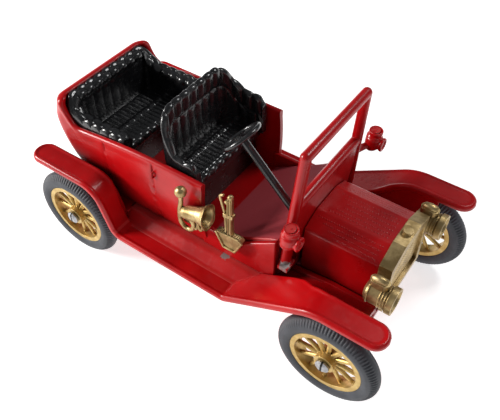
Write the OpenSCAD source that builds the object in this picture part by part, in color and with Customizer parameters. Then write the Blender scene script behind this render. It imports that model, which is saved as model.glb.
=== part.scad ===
// Open touring car of the veteran years: a die-cast toy on four spoked wheels.
// X runs forward, Y to the car's left, Z up. The ground is z = 0 and the origin
// lies under the middle of the car.

/* [Wheels and axles] */
// Outside radius of the tyre
tyre_r = 10; // [8.5:0.1:12]
// Radius of the tyre's round section
tyre_section_r = 1.75; // [1.4:0.05:2.1]
// Outside radius of the wheel rim, where the tyre seats
rim_r = 7.05; // [6.2:0.05:8]
// Radial width of the rim ring
rim_t = 0.95; // [0.7:0.05:1.4]
// Width of the rim across the car
rim_w = 2.6; // [2:0.1:3.2]
// Number of spokes in a wheel
spoke_count = 12; // [8:1:16]
// Radius of the hub boss
hub_r = 1.95; // [1.7:0.05:2.4]
// Width of the hub boss across the car
hub_w = 3.2; // [2.4:0.1:4]
// Radius of the steel axle rod
axle_r = 0.8; // [0.6:0.05:1]
// Radius of the domed head on each axle end
axle_head_r = 1.35; // [1.2:0.05:1.6]
// Radial running clearance of axles and hubs
run_clear = 0.06; // [0.03:0.01:0.1]
// Side play left between a hub and what stands next to it
end_play = 0.25; // [0.15:0.05:0.5]

/* [Chassis] */
// Distance between the two axles
wheelbase = 60.4; // [50:0.2:74]
// Distance between the middle planes of the two tyres on an axle
track = 37; // [30:0.2:46]
// How far each mudguard reaches past its axle
overhang = 9.3; // [8:0.1:12]
// Height of the running board's top above the axle
board_rise = 2.2; // [1:0.1:4]
// Thickness of mudguards and running boards
guard_t = 1.05; // [0.8:0.05:1.4]
// Air between the tyre's top and the mudguard
guard_gap = 1.9; // [1.2:0.05:3]
// Width of a mudguard across the car
guard_w = 5.3; // [4.8:0.1:6]
// Slope of the front mudguard where it rises from the running board, in degrees
front_slope = 30.5; // [26:0.5:36]
// Slope of the rear mudguard where it rises from the running board, in degrees
rear_slope = 73; // [66:1:76]
// Height of the deck's top above the running board's top
deck_rise = 1.8; // [1:0.1:3]
// Thickness of the deck plate
deck_t = 1.2; // [0.9:0.1:1.8]
// Distance from the deck's edge to the tyre's inner face
deck_gap = 2.85; // [2.4:0.05:4]
// Thickness of the two side rails that carry the axles
rail_t = 1.5; // [1.2:0.1:2.2]
// Distance between the middle planes of the side rails
rail_spacing = 16; // [14:0.5:18]
// How far the rails reach below the axle's centre
rail_drop = 2.6; // [2:0.1:3.2]

/* [Base] */
// Thickness of the base plate
base_t = 0.8; // [0.6:0.1:1.2]
// Width of the base plate
base_w = 19; // [18:0.5:22]
// Length of the base plate
base_l = 48; // [36:1:54]
// Distance between the two rivets
rivet_pitch = 34; // [24:1:40]
// Radius of the body's fixing posts
post_r = 1.7; // [1.5:0.1:2.2]
// Radius of the rivet shank
rivet_r = 0.8; // [0.6:0.05:1]
// Radius of the rivet head
rivet_head_r = 1.5; // [1.3:0.1:2]

/* [Body] */
// Wall thickness of the tub
tub_wall = 1; // [0.8:0.1:1.3]
// Length of the tub from its tail to the front edge of its sides
tub_l = 38.1; // [34:0.1:42]
// Height of the tub's side above the deck
tub_h = 14.6; // [12:0.2:17]
// How much higher the tail of the tub stands than its sides
tail_lift = 5; // [3:0.2:6]
// Radius of the tub's rear corners
tub_corner_r = 3; // [2:0.1:4]
// Thickness of the floor
floor_t = 1.2; // [0.9:0.1:1.6]
// Height of the sills beside the driver's feet above the deck
sill_h = 5; // [4:0.2:6]
// Height above the deck of the sills' front ends, where they meet the dashboard
wing_h = 10.8; // [9:0.2:12]
// Width of the bonnet
bonnet_w = 14.6; // [12:0.2:15.6]
// Height of the bonnet's top above the deck
bonnet_h = 13; // [11:0.2:15]
// Half width of the flat panel along the bonnet's top
bonnet_flat = 3.3; // [2.4:0.1:4.5]
// How far the bonnet's shoulders fall below its top
bonnet_fall = 1.7; // [1:0.1:2.4]

/* [Windscreen] */
// Height of the windscreen's top above the deck
screen_h = 31; // [26:0.5:34]
// Height of the dashboard's top above the deck
dash_h = 20; // [18:0.2:21.5]
// Half distance between the posts at the deck
post_half_foot = 11.4; // [10.6:0.1:12]
// Half distance between the posts at the top
post_half_top = 9.6; // [8.6:0.1:10.6]
// Radius of the windscreen's bars
bar_r = 0.95; // [0.8:0.05:1.2]
// Forward lean of the windscreen in degrees
screen_lean = 4; // [0:0.5:8]
// Distance of the windscreen's foot behind the front axle
screen_set_back = 14.4; // [13:0.1:15]
// Half distance between the middles of the side lamps
side_lamp_half = 14.5; // [14:0.1:15.5]
// Radius of a side lamp's body
side_lamp_r = 1.35; // [1.1:0.05:1.6]
// Height of a side lamp's body
side_lamp_h = 2.8; // [2.4:0.1:3.4]

/* [Radiator and headlamps] */
// Thickness of the radiator shell from back to front
radiator_t = 2.4; // [1.8:0.1:3.2]
// Width of the radiator's frame round its core
radiator_frame = 1.2; // [0.9:0.1:1.8]
// Depth of the recess in front of the core
core_recess = 0.7; // [0.4:0.1:1]
// Radius of a headlamp's front rim
lamp_r = 2.5; // [2:0.1:3]
// Length of a headlamp from back to front
lamp_l = 5.5; // [4.6:0.1:6.5]
// Air between a headlamp and the radiator's side
lamp_gap = 0.2; // [0.1:0.05:0.6]

/* [Seats] */
// Air between the seats and the tub's inside
seat_clear = 0.25; // [0.15:0.05:0.4]
// Thickness of the padded backs and arms
pad_t = 2; // [1.6:0.1:2.4]
// Height of the rear cushion above the floor
rear_cushion_h = 9; // [7:0.2:10.4]
// Length of the rear seat's arms from the back of the seat
rear_arm_l = 16; // [12:0.5:17]
// Height of the front cushion above the floor
front_cushion_h = 11; // [9:0.2:12.4]
// Length of the front cushion
front_cushion_l = 6.8; // [5.6:0.1:8]
// Height of the front seat's back above its cushion
front_back_h = 12.8; // [11:0.2:15]
// Thickness of the front seat's back
front_back_t = 1.6; // [1.3:0.1:2]
// Width of the front seat's back
front_back_w = 22.8; // [20:0.2:23]

/* [Steering] */
// Radius of the steering wheel, to the middle of its rim
steer_r = 3.7; // [3:0.1:4.4]
// Radius of the steering wheel's rim section
steer_rim_r = 0.42; // [0.35:0.01:0.5]
// Radius of the steering column
column_r = 0.75; // [0.6:0.05:0.9]
// Slope of the steering column in degrees
column_slope = 46; // [42:1:56]
// Length of the steering column
column_l = 17; // [14:0.2:19]
// Sideways distance of the steering column from the car's middle
column_side = 4.6; // [4:0.1:6]

/* [Horn and brake] */
// Radius of the horn's rubber bulb
bulb_r = 1.1; // [0.9:0.05:1.4]
// Radius of the horn's open mouth
horn_mouth_r = 2.6; // [2:0.1:2.9]
// Radius of the horn's tube
horn_tube_r = 0.6; // [0.5:0.05:0.7]
// Height of the brake lever's grip above the deck
lever_h = 17.6; // [14:0.2:20]
// Thickness of the brake lever's plate
lever_t = 0.8; // [0.6:0.05:1]

/* [Hidden] */
$fn = 48;

red = [0.62, 0.04, 0.05];
brass = [0.72, 0.55, 0.24];
black = [0.05, 0.05, 0.06];
rubber = [0.13, 0.13, 0.14];
gold = [0.76, 0.6, 0.28];
steel = [0.6, 0.6, 0.62];

// Small overlap that joins the shapes of one casting
weld = 0.05;
// Air between castings that stand side by side
side_clear = 0.1;

// Places along the car
axle_z = tyre_r;
front_x = wheelbase / 2;
rear_x = -wheelbase / 2;
tip_x = front_x + overhang;
tail_x = rear_x - overhang;

// Heights
board_z = axle_z + board_rise;
deck_z = board_z + deck_rise;
guard_z = axle_z + tyre_r + guard_gap + guard_t;
rail_bottom = axle_z - rail_drop;
floor_z = deck_z + floor_t;

// Widths, as distances from the middle of the car
tyre_y = track / 2;
edge_y = tyre_y + tyre_section_r + 0.05;
guard_in_y = edge_y - guard_w;
board_in_y = edge_y - 4.2;
deck_y = tyre_y - tyre_section_r - deck_gap;
tub_y = deck_y - 0.45;
sill_y = tub_y - 1.75;
sill_out_y = sill_y + tub_wall;
rail_y = rail_spacing / 2;

// ---------- Shared shapes ----------

// Copies a shape to the car's other side
module both_sides() {
    children();
    mirror([0, 1, 0]) children();
}

// An outline in the X-Z plane, carried across the car from y0 to y1
module side_slab(outline, y0, y1) {
    translate([0, y1, 0]) rotate([90, 0, 0])
        linear_extrude(height = y1 - y0) polygon(outline);
}

// An outline in the Y-Z plane, carried along the car from x0 to x1
module cross_slab(outline, x0, x1) {
    translate([x0, 0, 0]) rotate([90, 0, 90])
        linear_extrude(height = x1 - x0) polygon(outline);
}

// A round bar from point a to point b
module bar(a, b, r1, r2) {
    d = b - a;
    translate(a) rotate([0, acos(d[2] / norm(d)), atan2(d[1], d[0])])
        cylinder(h = norm(d), r1 = r1, r2 = r2);
}

// A rod across the car, centred on y
module cross_rod(x, y, z, r, length) {
    translate([x, y, z]) rotate([90, 0, 0]) cylinder(h = length, r = r, center = true);
}

// Points of an arc in the X-Z plane
function arc(cx, cz, r, a0, a1, steps) =
    [for (i = [0 : steps]) let (a = a0 + (a1 - a0) * i / steps) [cx + r * cos(a), cz + r * sin(a)]];

// The rounded bend that joins two straight runs meeting at corner p:
// a1 and a2 are the directions of travel before and after it, r its radius
function bend(p, a1, a2, r, steps) =
    let (
        turn = a2 - a1,
        side = sign(turn),
        reach = r * tan(abs(turn) / 2),
        start = p - reach * [cos(a1), sin(a1)],
        centre = start + side * r * [-sin(a1), cos(a1)]
    )
    arc(centre[0], centre[1], r, a1 - side * 90, a2 - side * 90, steps);

// A strip of thickness t below a path that runs from left to right
function strip_normal(path, i) =
    let (
        n = len(path) - 1,
        before = i == 0 ? path[1] - path[0] : path[i] - path[i - 1],
        after = i == n ? path[n] - path[n - 1] : path[i + 1] - path[i],
        u = before / norm(before),
        v = after / norm(after),
        m = (u + v) / norm(u + v)
    )
    [-m[1], m[0]] / (u * m);
function strip(path, t) =
    concat(path, [for (i = [len(path) - 1 : -1 : 0]) path[i] - t * strip_normal(path, i)]);

// ---------- Chassis ----------

// The guards' feet stand off from the axles in proportion to the tyres
front_foot_x = front_x - 2.19 * tyre_r;
rear_foot_x = rear_x + 1.21 * tyre_r;
rise = guard_z - board_z;
front_top_x = front_foot_x + rise / tan(front_slope);
rear_top_x = rear_foot_x - rise / tan(rear_slope);

// Top line of mudguards and running board, from the tail to the front tip
guard_line = concat(
    [[tail_x, guard_z]],
    bend([rear_top_x, guard_z], 0, -rear_slope, 3.6, 8),
    bend([rear_foot_x, board_z], -rear_slope, 0, 2, 6),
    bend([front_foot_x, board_z], 0, front_slope, 1.5, 3),
    bend([front_top_x, guard_z], front_slope, 0, 10, 6),
    [[tip_x, guard_z]]
);
guard_band = strip(guard_line, guard_t);
below_guard_line = concat(guard_line, [[tip_x, 0], [tail_x, 0]]);

// Plan of the left mudguards and running board
module guard_plan() {
    tip_r = guard_w / 2;
    tip_y = edge_y - tip_r;
    for (x = [tail_x + tip_r, tip_x - tip_r]) translate([x, tip_y]) circle(r = tip_r);
    translate([tail_x + tip_r, guard_in_y]) square([tip_x - tail_x - 2 * tip_r, guard_w]);
    polygon([
        [front_foot_x - 2, sill_out_y + side_clear], [front_x - 10, sill_out_y + side_clear],
        [front_x - 8.6, deck_y - 0.7],
        [front_x - 5.6, guard_in_y - 0.6], [front_x - 1, guard_in_y + weld],
        [front_foot_x - 2, guard_in_y + weld]
    ]);
}

// Curved inner wall of a front mudguard, as an outline in the Y-Z plane
valance_foot_y = max(bonnet_w / 2 + 1.5, guard_in_y + 0.6 - (guard_z - deck_z));
valance_r = guard_in_y - valance_foot_y + 0.6;
valance_z = guard_z - valance_r;
front_valance = concat(
    arc(valance_foot_y, guard_z, valance_r, -90, -8, 8),
    [[guard_in_y + 0.6, guard_z]],
    [for (i = [8 : -1 : 0]) let (a = -90 + 78 * i / 8)
        [valance_foot_y + (valance_r + guard_t) * cos(a), guard_z + (valance_r + guard_t) * sin(a)]]
);

module front_inner_wall() {
    intersection() {
        cross_slab(front_valance, front_x - 11, front_x + 3.4);
        side_slab(below_guard_line, 0, edge_y);
    }
}

module rear_inner_wall() {
    intersection() {
        translate([tail_x + 2, guard_in_y - guard_t, deck_z - deck_t])
            cube([rear_foot_x - tail_x - 4, guard_t + weld, guard_z - deck_z + deck_t]);
        side_slab(below_guard_line, 0, edge_y);
    }
}

// Sloping skirt between the running board and the deck
module board_skirt() {
    cross_slab([
        [board_in_y + 0.6, board_z - guard_t], [board_in_y + 0.6, board_z], [board_in_y, board_z],
        [deck_y + 0.25, deck_z - 0.1], [deck_y - 0.1, deck_z], [deck_y - 1.5, deck_z],
        [deck_y - 1.5, deck_z - deck_t], [deck_y - 0.6, deck_z - deck_t]
    ], rear_foot_x - 1.6, front_foot_x + 4);
}

module deck() {
    translate([tail_x + 2, -deck_y - 0.2, deck_z - deck_t])
        cube([rear_foot_x - tail_x, 2 * deck_y + 0.4, deck_t]);
    translate([rear_foot_x, 1 - deck_y, deck_z - deck_t])
        cube([front_x - 9 - rear_foot_x, 2 * (deck_y - 1), deck_t]);
    nose_y = valance_foot_y + weld;
    translate([front_x - 11, -nose_y, deck_z - deck_t])
        cube([11 + radiator_front_x - 0.3 - front_x, 2 * nose_y, deck_t]);
}

// Upright web that ties a front valance down to the deck
module valance_web() {
    translate([front_x - 11, valance_foot_y - guard_t, deck_z - deck_t])
        cube([14.4, guard_t + weld, valance_z + weld - deck_z + deck_t]);
}

module side_rail() {
    y0 = rail_y - rail_t / 2;
    difference() {
        side_slab([
            [rear_x - 5, deck_z - deck_t + weld], [rear_x - 5, axle_z],
            [rear_x - 2.4, rail_bottom], [front_x + 2.4, rail_bottom],
            [front_x + 2.8, deck_z - deck_t + weld]
        ], y0, y0 + rail_t);
        for (x = [front_x, rear_x])
            cross_rod(x, rail_y, axle_z, axle_r + run_clear, rail_t + 2);
    }
}

module chassis_casting() color(red) difference() {
    union() {
        both_sides() {
            intersection() {
                side_slab(guard_band, 0, edge_y);
                linear_extrude(height = guard_z + 1) guard_plan();
            }
            front_inner_wall();
            rear_inner_wall();
            board_skirt();
            valance_web();
            side_rail();
        }
        deck();
    }
    for (x = rivet_places) translate([x, 0, deck_z - deck_t - 1])
        cylinder(h = deck_t + 2, r = post_r + side_clear);
}

// ---------- Base plate and rivets ----------

rivet_places = [-rivet_pitch / 2, rivet_pitch / 2];
base_top = rail_bottom;

module base_plate() color(red) difference() {
    union() {
        translate([-base_l / 2, -base_w / 2, base_top - base_t]) cube([base_l, base_w, base_t]);
        for (s = [-1, 1]) translate([-base_l / 2, s * (rail_y - rail_t / 2 - 0.9) - 0.4, base_top - weld])
            cube([base_l, 0.8, 1.2]);
    }
    for (x = rivet_places) translate([x, 0, base_top - base_t - 1])
        cylinder(h = base_t + 2, r = rivet_r + run_clear);
}

module base_rivets() color(steel) {
    for (x = rivet_places) translate([x, 0, base_top - base_t]) {
        cylinder(h = base_t + 3, r = rivet_r);
        translate([0, 0, -0.5]) cylinder(h = 0.5, r1 = rivet_head_r * 0.7, r2 = rivet_head_r);
    }
}

// ---------- Body: tub, floor, sills, scuttle and bonnet ----------

tub_tail_x = rear_x - 8.3;
tub_front_x = tub_tail_x + tub_l;

// Half width of the tub's outside at a height h above the deck
function tub_half(h) = tub_y - 1.1 + 1.15 * sin(min(90, 90 * h / 9)) - 0.75 * pow(max(0, min(h, 16) - 9) / 8, 2);
// Distance that the tail stands forward of its fullest place at a height h above the deck
function tail_in(h) = h < 15 ? 7.8 * pow(1 - h / 15, 1.35) : 2.3 * pow((h - 15) / 5, 2);
// Height of the tub's rim at a place x along the car
function rim_h(x) =
    let (d = x - tub_tail_x)
    d > 8 ? tub_h + 1.6 * sin(90 * min(1, (d - 8) / 22))
          : tub_h + tail_lift * (0.5 + 0.5 * cos(180 * max(0, d - 1.2) / 6.8));

tail_heights = [0, 1.5, 3, 5, 7, 9.5, 12, 15, 16.5, 18, 19.2];
side_heights = [0, 2.5, 5, 7.5, 10, 13, 16, 19.8];

// Solid whose side, end and plan outlines are the tub's, inset by i
module tub_block(i, foot, top) {
    tall = tub_h + tail_lift + 1;
    intersection() {
        side_slab(concat(
            [[tub_front_x + i, deck_z + foot]],
            [[tub_tail_x + tail_in(0) + i, deck_z + foot]],
            [for (h = tail_heights) if (h > foot) [tub_tail_x + tail_in(h) + i, deck_z + h]],
            [[tub_tail_x + tail_in(tall - 1) + i, deck_z + top], [tub_front_x + i, deck_z + top]]
        ), -tub_y - 1, tub_y + 1);
        cross_slab(concat(
            [[-tub_half(foot) + i, deck_z + foot - weld]],
            [for (h = side_heights) if (h > foot) [-tub_half(h) + i, deck_z + h]],
            [[-tub_half(tall) + i, deck_z + top + weld], [tub_half(tall) - i, deck_z + top + weld]],
            [for (k = [len(side_heights) - 1 : -1 : 0]) let (h = side_heights[k])
                if (h > foot) [tub_half(h) - i, deck_z + h]],
            [[tub_half(foot) - i, deck_z + foot - weld]]
        ), tub_tail_x - 1, tub_front_x + 2);
        translate([0, 0, deck_z - 1]) linear_extrude(height = tall + 3) {
            r = tub_corner_r - i;
            for (y = [-1, 1]) translate([tub_tail_x + i + r, y * (tub_y + 0.05 - i - r)]) circle(r = r);
            translate([tub_tail_x + i + r, -tub_y - 0.05 + i]) square([tub_l + 2, 2 * (tub_y + 0.05 - i)]);
            translate([tub_tail_x + i, -tub_y - 0.05 + i + r])
                square([r + weld, 2 * (tub_y + 0.05 - i - r)]);
        }
    }
}

// The rim's line along the side, from the front edge to the tail
rim_stations = [for (k = [0 : 5]) tub_l - (tub_l - 11.4) * k / 5, 10, 8.5, 7, 6, 5, 4, 3, 2.2, 1.2, -1];
module tub_shell() {
    difference() {
        intersection() {
            tub_block(0, 0, tub_h + tail_lift);
            side_slab(concat(
                [[tub_front_x, deck_z - 1], [tub_front_x, deck_z + rim_h(tub_front_x)]],
                [for (d = rim_stations) [tub_tail_x + d, deck_z + rim_h(tub_tail_x + d)]],
                [[tub_tail_x - 1, deck_z - 1]]
            ), -tub_y - 2, tub_y + 2);
        }
        tub_block(tub_wall, -1, tub_h + tail_lift + 2);
    }
}

// Places of the scuttle, the dashboard and the bonnet
screen_x = front_x - screen_set_back;
bonnet_back_x = screen_x + 1.7;
bulkhead_x = screen_x - 0.85;
scuttle_floor_t = 1;
radiator_back_x = front_x + 1.7;
radiator_front_x = radiator_back_x + radiator_t;
toe_foot_x = tub_front_x - 0.6;
toe_top_z = deck_z + wing_h;

bonnet_half = bonnet_w / 2;
bonnet_section = [
    [-bonnet_half - 0.2, deck_z], [-bonnet_half, deck_z + bonnet_h - bonnet_fall],
    [-bonnet_flat, deck_z + bonnet_h], [bonnet_flat, deck_z + bonnet_h],
    [bonnet_half, deck_z + bonnet_h - bonnet_fall], [bonnet_half + 0.2, deck_z]
];
bonnet_inside = [
    [-bonnet_half + 1, deck_z - 1], [-bonnet_half + 1.2, deck_z + bonnet_h - bonnet_fall - 0.8],
    [-bonnet_flat, deck_z + bonnet_h - 1], [bonnet_flat, deck_z + bonnet_h - 1],
    [bonnet_half - 1.2, deck_z + bonnet_h - bonnet_fall - 0.8], [bonnet_half - 1, deck_z - 1]
];

module bonnet() {
    difference() {
        cross_slab(bonnet_section, bonnet_back_x, radiator_back_x);
        cross_slab(bonnet_inside, bonnet_back_x + 1, radiator_back_x + 1);
    }
}

// Floor, with the toe board that rises to the foot of the dashboard
module floor_pan() {
    side_slab([
        [tub_tail_x + 7.2, deck_z], [tub_tail_x + 7.2, floor_z], [toe_foot_x, floor_z],
        [bulkhead_x - 1.8, toe_top_z - 0.9], [bulkhead_x, toe_top_z], [bulkhead_x, deck_z]
    ], -sill_y - weld, sill_y + weld);
}

module sill() {
    side_slab([
        [tub_front_x - 1, deck_z], [tub_front_x - 1, deck_z + sill_h],
        [tub_front_x + 7, deck_z + sill_h], [bulkhead_x, toe_top_z], [bulkhead_x, deck_z]
    ], sill_y, sill_out_y);
}

// Plate under the dashboard that ties the bonnet to the floor
module scuttle_floor() {
    translate([bulkhead_x - weld, -bonnet_half, deck_z])
        cube([bonnet_back_x - bulkhead_x + 2 * weld, bonnet_w, scuttle_floor_t]);
}

module fixing_post(x) {
    translate([x, 0, base_top]) cylinder(h = deck_z + scuttle_floor_t / 2 - base_top, r = post_r);
}

module body_casting() color(red) difference() {
    union() {
        tub_shell();
        floor_pan();
        both_sides() sill();
        bonnet();
        scuttle_floor();
        for (x = rivet_places) fixing_post(x);
    }
    for (x = rivet_places) translate([x, 0, base_top - 1]) cylinder(h = 4.1, r = rivet_r + run_clear);
    steering_axis() translate([0, 0, -column_socket]) cylinder(h = 8, r = column_r + run_clear);
}

// ---------- Windscreen, dashboard and side lamps: one casting ----------

screen_run = screen_h / cos(screen_lean);
dash_run = dash_h / cos(screen_lean);
function post_half(run) = post_half_foot + (post_half_top - post_half_foot) * run / screen_run;

module screen_frame() {
    top = screen_run - bar_r;
    both_sides() {
        bar([0, post_half(4.8), 4.8], [0, post_half(top), top], bar_r * 1.1, bar_r);
        translate([0, post_half(top), top]) sphere(r = bar_r);
    }
    bar([0, -post_half(top), top], [0, post_half(top), top], bar_r, bar_r);
}

module dashboard() {
    // The panel's leaning foot stands on the scuttle floor with its front edge
    low = (scuttle_floor_t + 0.7 * sin(screen_lean)) / cos(screen_lean);
    rail_z = dash_run - bar_r;
    rail_low = dash_run - 2.4;
    cross_slab([
        [-post_half(dash_run), rail_z], [-post_half(rail_low), rail_low], [-8.2, 5], [-8.2, low],
        [8.2, low], [8.2, 5], [post_half(rail_low), rail_low], [post_half(dash_run), rail_z]
    ], -0.5, 0.7);
    bar([0, -post_half(dash_run), rail_z], [0, post_half(dash_run), rail_z], bar_r, bar_r);
}

// Flat foot that each post stands on
module screen_foot() {
    translate([-0.5, post_half_foot - 1.4, 4.6]) cube([2, 2.8, 0.9]);
}

lamp_base_run = dash_run - 4.9;
module side_lamp() {
    y = side_lamp_half;
    bar([0, post_half(lamp_base_run), lamp_base_run + 0.8], [1.6, y, lamp_base_run + 0.8], 0.7, 0.6);
    translate([1.6, y, lamp_base_run]) {
        cylinder(h = side_lamp_h, r = side_lamp_r);
        translate([0, 0, side_lamp_h]) cylinder(h = 0.5, r1 = side_lamp_r, r2 = side_lamp_r * 0.75);
        translate([0, 0, side_lamp_h + 0.5]) cylinder(h = 0.8, r = side_lamp_r * 0.75);
        translate([0, 0, -0.5]) cylinder(h = 0.5, r1 = side_lamp_r * 0.7, r2 = side_lamp_r);
        translate([0, 0, side_lamp_h / 2]) rotate([0, 90, 0]) cylinder(h = side_lamp_r + 0.5, r = 1.05);
    }
}

module windscreen_casting() color(red) {
    translate([screen_x, 0, deck_z]) rotate([0, screen_lean, 0]) {
        screen_frame();
        dashboard();
        both_sides() {
            screen_foot();
            side_lamp();
        }
    }
}

// ---------- Radiator shell with its two headlamps ----------

core_half = bonnet_half - radiator_frame;
radiator_section = [
    [-bonnet_half - 0.1, deck_z], [-bonnet_half - 0.1, deck_z + bonnet_h - bonnet_fall + 0.4],
    [-bonnet_flat + 0.3, deck_z + bonnet_h + 0.6], [bonnet_flat - 0.3, deck_z + bonnet_h + 0.6],
    [bonnet_half + 0.1, deck_z + bonnet_h - bonnet_fall + 0.4], [bonnet_half + 0.1, deck_z]
];
core_section = [
    [-core_half, deck_z + radiator_frame], [-core_half, deck_z + bonnet_h - bonnet_fall - 1.4],
    [-bonnet_flat, deck_z + bonnet_h - 1.4], [bonnet_flat, deck_z + bonnet_h - 1.4],
    [core_half, deck_z + bonnet_h - bonnet_fall - 1.4], [core_half, deck_z + radiator_frame]
];
lamp_y = bonnet_half + 0.1 + lamp_gap + lamp_r * 0.86;
lamp_z = deck_z + 7.9;
lamp_back_x = radiator_back_x - 0.6;

module headlamp() {
    translate([lamp_back_x, lamp_y, lamp_z]) {
        rotate([0, 90, 0]) rotate_extrude() polygon([
            [0, 0], [lamp_r * 0.5, 0], [lamp_r * 0.8, 0.5], [lamp_r * 0.86, 1],
            [lamp_r * 0.86, lamp_l - 1.3], [lamp_r, lamp_l - 1.1], [lamp_r, lamp_l],
            [lamp_r - 0.5, lamp_l], [lamp_r * 0.6, lamp_l - 1.2], [0, lamp_l - 1.7]
        ]);
        translate([1.3, 0, lamp_r * 0.6]) cylinder(h = lamp_r * 0.4 + 0.9, r = 0.9);
        translate([3, 0, lamp_r * 0.6]) cylinder(h = lamp_r * 0.4 + 0.9, r = 0.9);
        translate([1.3, -0.9, lamp_r * 0.6]) cube([1.7, 1.8, lamp_r * 0.4 + 0.9]);
    }
}

module lamp_bracket() {
    translate([lamp_back_x + 0.9, bonnet_half - 0.4, lamp_z - 1.1]) cube([1.8, 1.6, 2.2]);
}

module radiator_shell() color(brass) {
    difference() {
        cross_slab(radiator_section, radiator_back_x, radiator_front_x);
        cross_slab(core_section, radiator_front_x - core_recess, radiator_front_x + 1);
    }
    translate([(radiator_back_x + radiator_front_x) / 2, 0, deck_z + bonnet_h + 0.5])
        cylinder(h = 0.9, r = 0.9);
    both_sides() {
        headlamp();
        lamp_bracket();
    }
}

// ---------- Seats ----------

seat_half = tub_half(17) - tub_wall - seat_clear;
seat_tail_x = tub_tail_x + 2.6 + seat_clear;
// Back face of the rear seat at a height h above the deck: it follows the tub's tail
function seat_back_x(h) = max(seat_tail_x, tub_tail_x + tail_in(h) + tub_wall + seat_clear);

// Horseshoe plan of the rear seat's back and arms
module horseshoe(inset) {
    w = seat_half - inset;
    r = max(0.6, tub_corner_r - 1 - inset);
    back = seat_tail_x + inset;
    for (s = [-1, 1]) translate([back + r, s * (w - r)]) circle(r = r);
    translate([back + r, -w]) square([rear_arm_l + 8, 2 * w]);
    translate([back, -w + r]) square([r + weld, 2 * (w - r)]);
}

module rear_seat() color(black) {
    arm_end = seat_tail_x + rear_arm_l;
    top_side = deck_z + tub_h + 2;
    top_back = deck_z + tub_h + tail_lift - 0.2;
    cushion_top = floor_z + rear_cushion_h;
    low_h = floor_t + rear_cushion_h - 2.4;
    cushion_front = seat_tail_x + 12.6;
    intersection() {
        translate([0, 0, deck_z + low_h]) linear_extrude(height = top_back - deck_z - low_h)
            difference() {
                horseshoe(0);
                horseshoe(pad_t);
            }
        side_slab(concat(
            [for (h = [low_h : 1 : low_h + 4]) [seat_back_x(h), deck_z + h]],
            [[seat_tail_x, top_back], [seat_tail_x + 2.2, top_back]],
            [for (k = [1 : 6]) let (t = k / 6)
                [seat_tail_x + 2.2 + 6 * t, top_side + (top_back - top_side) * (0.5 + 0.5 * cos(180 * t))]],
            [[arm_end, top_side - 0.4], [arm_end, deck_z + low_h]]
        ), -seat_half, seat_half);
    }
    cushion_half = min(seat_half, tub_half(floor_t) - tub_wall - seat_clear);
    side_slab(concat(
        [for (h = [floor_t : (low_h + 0.6 - floor_t) / 4 : low_h + 0.7]) [seat_back_x(h), deck_z + h]],
        [[seat_tail_x + pad_t, cushion_top], [cushion_front - 1, cushion_top],
        [cushion_front, cushion_top - 1], [cushion_front, cushion_top - 3],
        [cushion_front - 0.8, cushion_top - 3], [cushion_front - 0.8, floor_z]]
    ), -cushion_half, cushion_half);
}

module front_seat() color(black) {
    top = floor_z + front_cushion_h;
    front = tub_front_x - 3.9;
    back = front - front_cushion_l;
    arm_half = tub_half(16) - tub_wall - seat_clear;
    back_half = min(front_back_w / 2, arm_half);
    box_half = min(arm_half, tub_half(floor_t) - tub_wall - seat_clear);
    corner_r = 4.3;
    // Cushion and the box under it
    side_slab([
        [back - 3, floor_z], [back - 3, top], [front - 0.8, top], [front, top - 0.9],
        [front, top - 2.4], [front - 1.2, top - 2.9], [front - 2.4, floor_z]
    ], -box_half, box_half);
    // Upright back with round upper corners
    translate([back - front_back_t, 0, top - 0.5]) rotate([90, 0, 90]) linear_extrude(height = front_back_t) {
        for (s = [-1, 1]) translate([s * (back_half - corner_r), front_back_h + 0.5 - corner_r])
            circle(r = corner_r);
        translate([-back_half, 0]) square([2 * back_half, front_back_h + 0.5 - corner_r]);
        translate([-back_half + corner_r, 0]) square([2 * (back_half - corner_r), front_back_h + 0.5]);
    }
    // Arms that fall away from the back
    both_sides() side_slab([
        [back - front_back_t, top - 1], [back - front_back_t, top + 8], [back, top + 7.6],
        [back + 1, top + 6.2], [back + 2.4, top + 5.2], [back + 4, top + 4.9],
        [front + 1.2, top + 4.8], [front + 1.2, top - 1]
    ], arm_half - 1.5, arm_half);
}

// ---------- Steering wheel and column: one moulding ----------

// How far the column's foot goes into the toe board
column_socket = 0.9;
module steering_axis() {
    translate([bulkhead_x - 0.9, -column_side, toe_top_z - 0.2]) rotate([0, column_slope - 90, 0]) children();
}

module steering_wheel() color(black) steering_axis() {
    translate([0, 0, -column_socket]) cylinder(h = column_l + column_socket, r = column_r);
    translate([0, 0, column_l - 0.6]) cylinder(h = 1, r = 1.1);
    translate([0, 0, column_l]) {
        rotate_extrude() translate([steer_r, 0]) circle(r = steer_rim_r, $fn = 24);
        for (a = [45 : 90 : 315]) rotate([0, 90, a]) cylinder(h = steer_r, r = steer_rim_r * 0.75);
    }
}

// ---------- Bulb horn ----------

horn_x = tub_front_x - 1.2;
horn_z = deck_z + 7.6;
horn_y = -tub_y - 0.7;

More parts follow.
